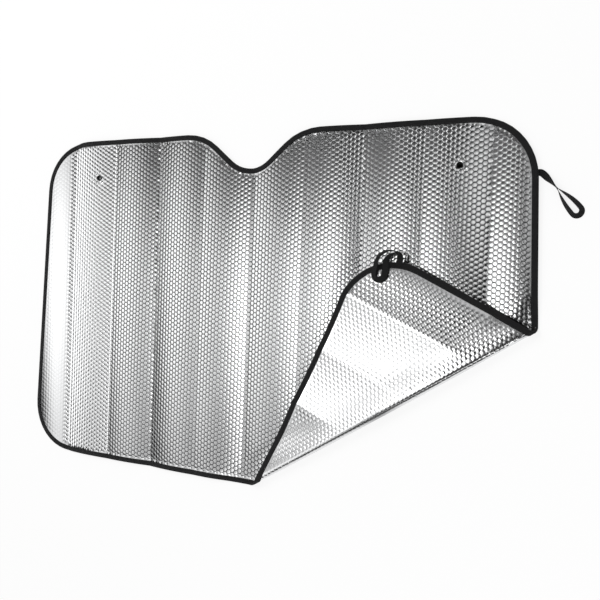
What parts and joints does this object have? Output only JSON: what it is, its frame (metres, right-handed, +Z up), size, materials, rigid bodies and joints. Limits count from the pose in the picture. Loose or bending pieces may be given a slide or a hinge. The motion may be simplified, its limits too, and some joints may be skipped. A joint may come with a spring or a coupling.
{
  "type": "windscreen sunshade",
  "caption": "Folding windscreen sunshade of metallised bubble foil with a mirror notch, taped edge, suction cups in eyelets and elastic strap loops, one corner turned over.",
  "frame": {"origin": "on the surface that the shade lies on, under the middle of its bounding box", "axes": "+X along the width, towards the edge with the strap loops; +Y towards the mirror notch; +Z up, out of the face with the suction cups"},
  "size_m": [1.3658, 0.8074, 0.0505],
  "materials": {
    "metallised_foil": "bright metallised plastic film over small round bubbles",
    "binding_cloth": "black woven binding tape, stitched",
    "elastic": "black ribbed elastic ribbon",
    "eyelet_plastic": "black moulded plastic",
    "clear_vinyl": "clear soft vinyl"
  },
  "bodies": {
    "root": {"foil_panel": "metallised_foil", "edge_binding": "binding_cloth", "upper_strap": "elastic", "lower_strap": "elastic", "left_eyelet": "eyelet_plastic", "right_eyelet": "eyelet_plastic", "left_eyelet_washer": "eyelet_plastic", "right_eyelet_washer": "eyelet_plastic", "left_suction_cup": "clear_vinyl", "right_suction_cup": "clear_vinyl"}
  },
  "joints": []
}
